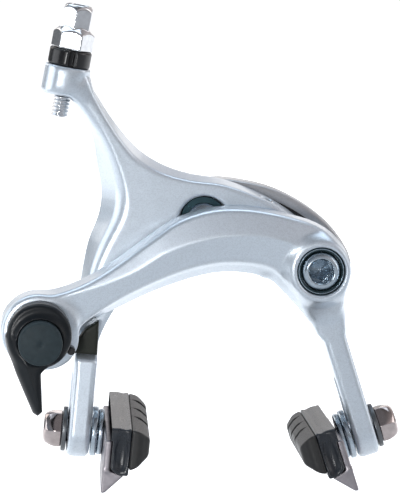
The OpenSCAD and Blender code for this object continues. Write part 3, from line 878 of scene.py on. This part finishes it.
def anchor_bolt(x, y, z):
    """Hexagon head with a flange, behind the plate."""
    rho = off_axis(x, z, LEVER)
    flats = hexagon(x - LEVER[0], z - LEVER[2], ANCHOR_FLATS)
    head = both(flats, between(y, *ANCHOR_HEAD_Y), 0.25)
    head = both(head, (rho + y - ANCHOR_HEAD_Y[1] - 4.9) * SLOPE_45, 0.2)
    flange = both(rho - ANCHOR_FLANGE_R, between(y, *ANCHOR_FLANGE_Y), 0.15)
    shank = both(rho - ANCHOR_BOLT_R, between(y, *ANCHOR_BOLT_Y), 0.2)
    return np.minimum(np.minimum(head, flange), shank)


finish_piece(node_carve("anchor_clamp_plate", "anchor_plate", anchor_plate, 0.15),
             ZINC, "lever", "zinc_steel", "anchor_plate")
finish_piece(node_carve("anchor_hex_bolt", "anchor_bolt", anchor_bolt, 0.16),
             ZINC, "lever", "zinc_steel", "anchor_bolt")

# ---------------------------------------------------------------- brake shoes

# Shoes are drawn with x along the stud towards the wheel, y along the shoe and z up
SHOE_TURN = {"left": -1.0, "right": 3.5}
SHOE_HALF = 21
STUD_R, STUD_PITCH, STUD_THREAD = 3.0, 1.0, 0.4
STUD_HOLE_R = 3.05
NUT_LOW, NUT_HIGH, NUT_FLATS = -8.0, -3.8, 7.6
PLATE_X, PLATE_HALF = 5.6, 19.5
HOLDER_X = 7.2
LIP_Z = 2.2
PAD_SLOTS = (-5, 4.5, 14)


def nut(x, y, z):
    """Hexagon nut whose outer end is domed."""
    rho = np.hypot(y, z)
    body = both(hexagon(y, z, NUT_FLATS, 30), between(x, NUT_LOW, NUT_HIGH), 0.3)
    body = both(body, (rho - 2.9 - 0.786 * (x - NUT_LOW)) * 0.786, 0.7)
    body = both(body, (rho + x - 0.35) * SLOPE_45, 0.15)
    return without(body, rho - 2.2, 0.35)


def stud(x, y, z):
    """The threaded rod that carries a shoe."""
    rho, angle = np.hypot(y, z), np.arctan2(z, y)
    rod = thread(rho, angle, x, STUD_R, STUD_PITCH, STUD_THREAD)
    return both(rod, between(x, NUT_LOW + 0.7, PLATE_X), 0.3)


def plate(x, y, z):
    """Metal backing whose front half carries a wedge that guides the wheel in."""
    back = block(x, y, z, (PLATE_X, -PLATE_HALF, -5.2), (HOLDER_X, PLATE_HALF, LIP_Z), 0.45)
    slant = np.maximum((x - 6.2) * 0.73 - (z + 9.8) * 0.68, -(x - 5.55))
    top = z + 4.6 + 0.3 * (x - HOLDER_X)
    wedge = np.maximum(np.maximum(slant, top), between(y, -PLATE_HALF, 2.5))
    wedge = both(wedge, -z - 9.7, 0.3)
    solid = either(back, both(wedge, x - 10.6, 0.3), 0.3)
    rib = block(x, y, z, (PLATE_X, -14, -1.6), (PLATE_X + 0.5, -8, 1.6), 0.3)
    return without(solid, rib - 0.02, 0.2)


# Cross sections of the holder, its lip and the pad, as (x, z)
HOLDER_EDGE = [(7.2, -4), (8.8, -5.2), (11.2, -5.2), (11.2, 5.4), (8.8, 5.4), (7.2, 4.2)]
LIP_EDGE = [(5.9, 2.4), (8.5, 2.2), (9, 5.4), (6.1, 5.2)]
PAD_EDGE = [(11.2, -4.9), (12.6, -3.5), (15.4, -2.7), (15.4, 3.2), (13.2, 4.9), (11.2, 5.2)]


def holder(x, y, z):
    """Holder with a lip along its top and a scooped front end."""
    body, lip = section(x, z, HOLDER_EDGE, 0.45), section(x, z, LIP_EDGE, 0.35)
    solid = both(np.minimum(body, lip), between(y, -SHOE_HALF, SHOE_HALF), 0.6)
    groove = np.hypot((x - 9.9) / 0.9, (z - 5.9) / 0.75) - 1
    solid = without(solid, groove * 0.75, 0.3)
    scoop = np.sqrt(((x - 9.3) / 1.7) ** 2 + ((z + 0.2) / 4.6) ** 2 + ((y + 21.4) / 1.5) ** 2) - 1
    return without(solid, scoop * 1.2, 0.4)


def pad(x, y, z):
    """Rubber pad with water slots across its face and chamfered edges."""
    solid = both(section(x, z, PAD_EDGE, 0.5), between(y, -SHOE_HALF, SHOE_HALF), 0.5)
    solid = both(solid, (x - y - 34.4) * SLOPE_45, 0.5)
    solid = both(solid, (x + y - 34.4) * SLOPE_45, 0.5)
    for middle in PAD_SLOTS:
        width = np.abs(y - middle) - step(x, 11.8, 13.2)
        floor_x = 13.0 - 0.5 * np.abs(z) * step(z, 2, 5)
        solid = without(solid, np.maximum(width, floor_x - x), 0.2)
    return solid


def disc(r, low, high, rim):
    """A washer on the stud, with rounded rims."""
    return lambda x, y, z: without(both(np.hypot(y, z) - r, between(x, low, high), rim),
                                   np.hypot(y, z) - STUD_HOLE_R, 0.1)


# Name, shape, corners of its box, grid, material, body and slot
SHOE_PIECES = [
    ("stud", stud, (-7.5, -3.1, -3.1), (5.7, 3.1, 3.1), 0.13, ZINC, "shoe", "zinc_steel"),
    ("outer_washer", disc(5, -3.75, -2.75, 0.2), (-3.8, -5.1, -5.1), (-2.7, 5.1, 5.1), 0.14,
     DARK_STEEL, "foot", "zinc_steel"),
    ("nut", nut, (-8.1, -4.5, -4.5), (-3.7, 4.5, 4.5), 0.13, NUT_METAL, "shoe", "zinc_steel"),
    ("dished_washer", disc(5.6, 2.8, 4.15, 0.4), (2.7, -5.7, -5.7), (4.2, 5.7, 5.7), 0.15,
     BLUE_ZINC, "foot", "zinc_steel"),
    ("domed_washer", disc(5.2, 4.2, 5.5, 0.5), (4.1, -5.3, -5.3), (5.6, 5.3, 5.3), 0.15,
     BLUE_ZINC, "foot", "zinc_steel"),
    ("backing_plate", plate, (5.5, -19.6, -9.9), (10.8, 19.6, 5.5), 0.22, SHOE_METAL, "shoe",
     "shoe_metal"),
    ("pad_holder", holder, (7.1, -21.1, -5.3), (11.3, 21.1, 5.5), 0.22, HOLDER_PLASTIC, "shoe",
     "black_plastic"),
    ("pad", pad, (11.1, -21.1, -5.1), (15.5, 21.1, 5.3), 0.2, RUBBER, "shoe", "pad_rubber"),
]

for side in ("left", "right"):
    foot = joint_at(side + "_shoe_turn")
    inward = joint_axis(side + "_shoe_turn")
    up = joint_axis(side + "_shoe_height")
    up = up - inward * up.dot(inward)
    at = turned(place(foot, inward, up / np.linalg.norm(up), side == "right"), -SHOE_TURN[side])
    for part, field, low, high, size, material, body, slot in SHOE_PIECES:
        piece = carve(f"{side}_{part}_detail", field, low, high, size, at)
        finish_piece(piece, material, f"{side}_{body}", slot, f"{side}_{part}")

# ---------------------------------------------------------------- small plastic parts and spring


STOP_PAD_CUT, STOP_PAD_Y = -19, (-20.5, -17.55)


def stop_pad(x, y, z):
    """The moulded pad that the two arms rest against."""
    edge = Outline("arm_stop_pad", STOP_PAD_CUT).distance(x, z)
    return both(edge, between(y, *STOP_PAD_Y), 0.6)


finish_piece(node_carve("stop_pad_moulding", "arm_stop_pad", stop_pad, 0.18),
             STOP_PLASTIC, "rear_arm", "black_plastic", "arm_stop_pad")

# CAD nodes that show as they are
for names, material in ((("left_spring_sleeve", "right_spring_sleeve"), NYLON),
                        (("rear_arm_bush", "front_arm_bush"), BRONZE),
                        (("centre_thrust_washer", "side_thrust_washer"), NYLON),
                        (("centring_screw",), ZINC), (("return_spring",), DARK_STEEL)):
    for name in names:
        frame["nodes"][name].data.materials.clear()
        frame["nodes"][name].data.materials.append(material)

# ---------------------------------------------------------------- camera, floor and light

# The view's direction, its distance, the height that it frames, and the middle of the frame
# across and up, on a plane at this y. Lengths are in metres.
VIEW_TURN, VIEW_RISE, VIEW_ROLL = (math.radians(a) for a in (-3.5, 8.5, 4.5))
VIEW_FAR = 0.8
VIEW_TALL = 0.1109
VIEW_MIDDLE = (-0.00034, -0.00887)
VIEW_PLANE = -0.0175
SENSOR = 36.0

look = Vector((-math.sin(VIEW_TURN) * math.cos(VIEW_RISE),
               math.cos(VIEW_TURN) * math.cos(VIEW_RISE), -math.sin(VIEW_RISE)))
right = Vector((math.cos(VIEW_TURN), math.sin(VIEW_TURN), 0))
up = right.cross(look)
target = right * VIEW_MIDDLE[0] + up * VIEW_MIDDLE[1]
target += look * (Vector((0, VIEW_PLANE, 0)).dot(look) - target.dot(look))
image_right = right * math.cos(VIEW_ROLL) - up * math.sin(VIEW_ROLL)
image_up = right * math.sin(VIEW_ROLL) + up * math.cos(VIEW_ROLL)
camera_data = bpy.data.cameras.new("camera")
camera_data.sensor_width = SENSOR
camera_data.lens = SENSOR * VIEW_FAR / VIEW_TALL
camera_data.clip_end = 20
camera = bpy.data.objects.new("camera", camera_data)
turn = Matrix((image_right, image_up, -look)).transposed().to_4x4()
camera.matrix_world = Matrix.Translation(target - look * VIEW_FAR) @ turn
bpy.context.scene.collection.objects.link(camera)
bpy.context.scene.camera = camera

# The floor, a little below the part. It glows from the part backwards, so it ends in plain white
FLOOR_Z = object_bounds()[0][2] - 0.012
FLOOR_X, FLOOR_Y = (-6, 6), (-3, 9)
GLOW_FROM, GLOW_TO, GLOW = -0.1, 0.1, 0.8

corners = [(FLOOR_X[0], FLOOR_Y[0]), (FLOOR_X[1], FLOOR_Y[0]),
           (FLOOR_X[1], FLOOR_Y[1]), (FLOOR_X[0], FLOOR_Y[1])]
floor_mesh = bpy.data.meshes.new("floor")
floor_mesh.from_pydata([(x, y, FLOOR_Z) for x, y in corners], [], [(0, 1, 2, 3)])
floor = bpy.data.objects.new("floor", floor_mesh)
bpy.context.scene.collection.objects.link(floor)
pale = Surface("pale_floor", 0.0, 0.9)
pale.to(pale.ramp(pale.noise(3), [(0.3, 0.78), (0.7, 0.80)]), "Base Color")
floor_axes = pale.tree.nodes.new("ShaderNodeSeparateXYZ")
pale.tree.links.new(pale.place, floor_axes.inputs["Vector"])
fade = pale.tree.nodes.new("ShaderNodeMapRange")
fade.inputs["From Min"].default_value = GLOW_FROM
fade.inputs["From Max"].default_value = GLOW_TO
pale.tree.links.new(floor_axes.outputs["Y"], fade.inputs["Value"])
pale.to(pale.ramp(fade.outputs["Result"], [(0.2, 0.0), (0.7, 1.0)]), "Emission Color")
pale.shader.inputs["Emission Strength"].default_value = GLOW
floor_mesh.materials.append(pale.material)

LIGHT_AIM = (0, -0.015, -0.01)


def add_light(name, data, at, aim, power, tint=(1, 1, 1)):
    """A lamp at a place, turned towards its aim."""
    data.energy, data.color = power, tint
    light = bpy.data.objects.new(name, data)
    light.location = at
    light.rotation_euler = (Vector(aim) - Vector(at)).to_track_quat("-Z", "Y").to_euler()
    bpy.context.scene.collection.objects.link(light)


def softbox(name, at, size, power, tint=(1, 1, 1)):
    """A rectangle of soft light that faces the part."""
    data = bpy.data.lights.new(name, "AREA")
    data.shape, data.size, data.size_y = "RECTANGLE", size[0], size[1]
    add_light(name, data, at, LIGHT_AIM, power, tint)


softbox("overhead", (0.0, 0.15, 0.9), (1.2, 0.7), 5.6, (0.76, 0.88, 1.0))
softbox("left_side", (-0.4, -0.05, 0.1), (0.3, 0.3), 0.58, (0.95, 0.97, 1.0))
softbox("right_side", (0.8, -0.2, 0.2), (0.4, 0.6), 1.2)
softbox("back_left", (-0.5, 0.5, 0.4), (0.4, 0.4), 0.8, (1.0, 0.92, 0.84))
softbox("back_low", (0.0, 0.8, 0.16), (1.2, 0.2), 0.8, (1.0, 0.97, 0.95))
key = bpy.data.lights.new("left_key", "SPOT")
key.spot_size, key.spot_blend, key.shadow_soft_size = math.radians(12), 1.0, 0.08
add_light("left_key", key, (-0.3, -0.85, 0.05), (-0.045, -0.02, -0.03), 23)

# The sky that the part reflects, from straight down at 0 to straight up at 1, on each side
SKY_LEFT = [(0.0, 0.08), (0.42, (0.12, 0.12, 0.14)), (0.5, (0.2, 0.21, 0.23)),
            (0.58, (0.12, 0.14, 0.16)), (0.72, (0.16, 0.24, 0.32)), (1.0, 0.08)]
SKY_RIGHT = [(0.0, 0.08), (0.42, (0.08, 0.08, 0.1)), (0.5, (0.13, 0.14, 0.15)),
             (0.58, (0.70, 0.66, 0.64)), (0.72, (0.78, 0.70, 0.70)), (1.0, 0.08)]
BACKDROP = (0.88, 0.88, 0.88, 1)

world = bpy.data.worlds.new("studio")
world.use_nodes = True
nodes, links = world.node_tree.nodes, world.node_tree.links
sky_place = nodes.new("ShaderNodeTexCoord")
sky_axes = nodes.new("ShaderNodeSeparateXYZ")
links.new(sky_place.outputs["Generated"], sky_axes.inputs["Vector"])
shares = {}
for axis in "XZ":
    share = nodes.new("ShaderNodeMapRange")
    share.inputs["From Min"].default_value = -1
    links.new(sky_axes.outputs[axis], share.inputs["Value"])
    shares[axis] = share.outputs["Result"]
sky = nodes.new("ShaderNodeMix")
sky.data_type = "RGBA"
links.new(shares["X"], sky.inputs[0])
for socket, stops in ((MIX_A, SKY_LEFT), (MIX_B, SKY_RIGHT)):
    links.new(colour_ramp(world.node_tree, shares["Z"], stops), sky.inputs[socket])
links.new(sky.outputs[MIX_RESULT], nodes["Background"].inputs["Color"])

# What is seen directly past the floor is a plain pale backdrop
backdrop = nodes.new("ShaderNodeBackground")
backdrop.inputs["Color"].default_value = BACKDROP
ray = nodes.new("ShaderNodeLightPath")
seen = nodes.new("ShaderNodeMixShader")
links.new(ray.outputs["Is Camera Ray"], seen.inputs[0])
links.new(nodes["Background"].outputs[0], seen.inputs[1])
links.new(backdrop.outputs[0], seen.inputs[2])
links.new(seen.outputs[0], nodes["World Output"].inputs["Surface"])
bpy.context.scene.world = world
bpy.context.scene.view_settings.view_transform = "Standard"
